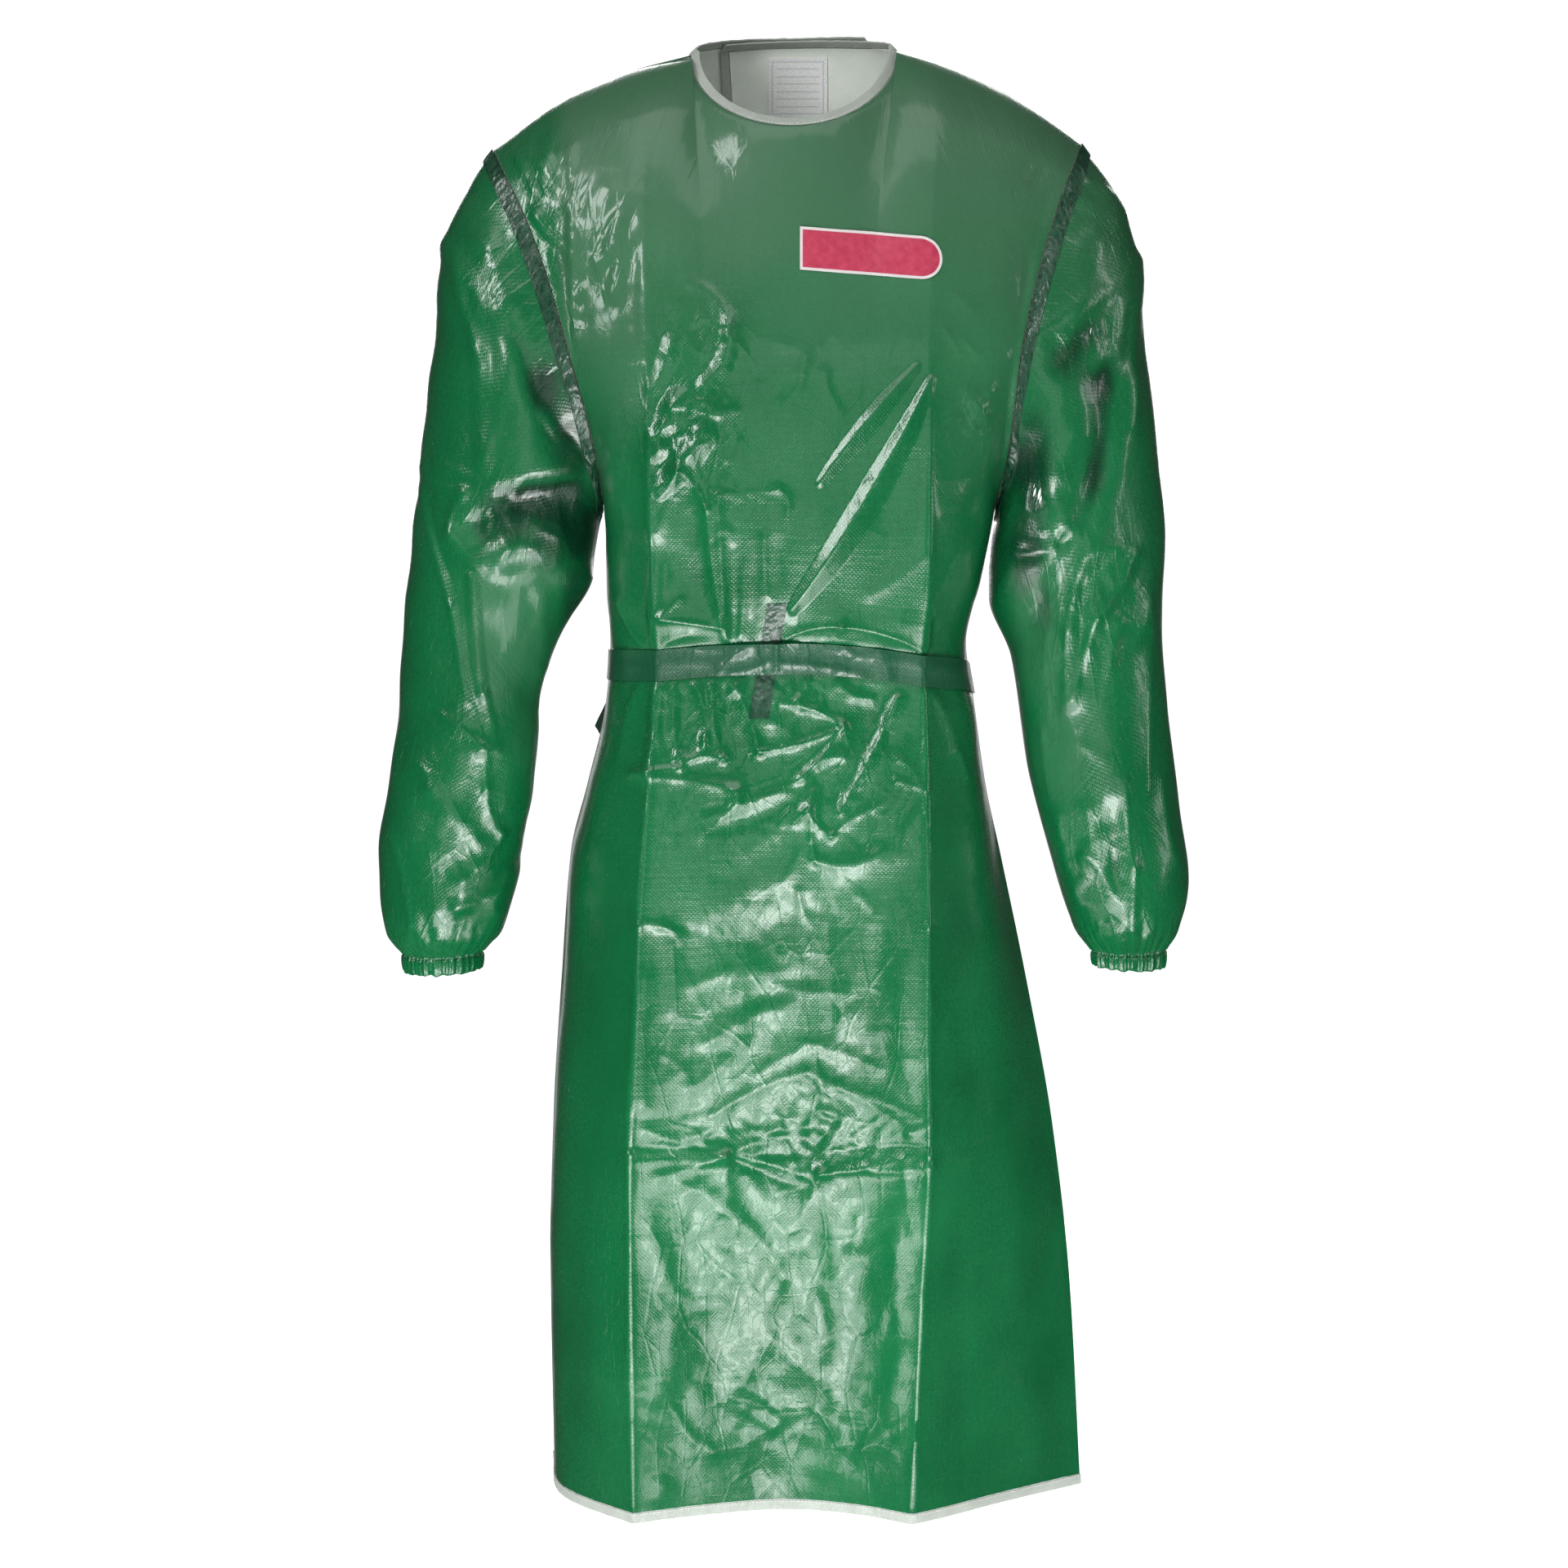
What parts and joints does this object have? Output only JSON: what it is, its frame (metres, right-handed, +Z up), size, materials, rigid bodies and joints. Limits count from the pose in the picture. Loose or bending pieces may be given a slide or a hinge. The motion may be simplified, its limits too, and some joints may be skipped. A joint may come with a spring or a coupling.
{
  "type": "sleeved protective apron",
  "caption": "Long green film-coated apron with set-in sleeves, elastic cuffs, a round bound neck, a bound hem, a tied belt and an overlapped open back, filled out as worn.",
  "frame": {"origin": "between the shoulders, level with the neck opening and midway front to back, where the garment is held", "axes": "+Z up, +X to the right as the front is looked at, +Y to the back, so the front faces -Y"},
  "size_m": [0.6922, 0.3258, 1.2411],
  "materials": {
    "green_film_cloth": "glossy film over green nonwoven",
    "belt_film_cloth": "satin film over dark green nonwoven",
    "dark_sealing_tape": "glossy film tape",
    "white_nonwoven_binding": "matte nonwoven",
    "pink_vinyl_patch": "satin soft vinyl",
    "white_woven_label": "matte woven"
  },
  "bodies": {
    "root": {"front_panel": "green_film_cloth", "back_panel_left": "green_film_cloth", "back_panel_right": "green_film_cloth", "sleeve_left": "green_film_cloth", "sleeve_right": "green_film_cloth", "cuff_left": "green_film_cloth", "cuff_right": "green_film_cloth", "belt_left": "belt_film_cloth", "belt_right": "belt_film_cloth", "belt_knot": "belt_film_cloth", "belt_tail_side": "belt_film_cloth", "belt_tail_down": "belt_film_cloth", "belt_tape": "dark_sealing_tape", "armhole_tape_left": "dark_sealing_tape", "armhole_tape_right": "dark_sealing_tape", "neck_binding": "white_nonwoven_binding", "hem_binding": "white_nonwoven_binding", "back_edge_binding_left": "white_nonwoven_binding", "back_edge_binding_right": "white_nonwoven_binding", "chest_patch": "pink_vinyl_patch", "neck_label": "white_woven_label"}
  },
  "joints": []
}
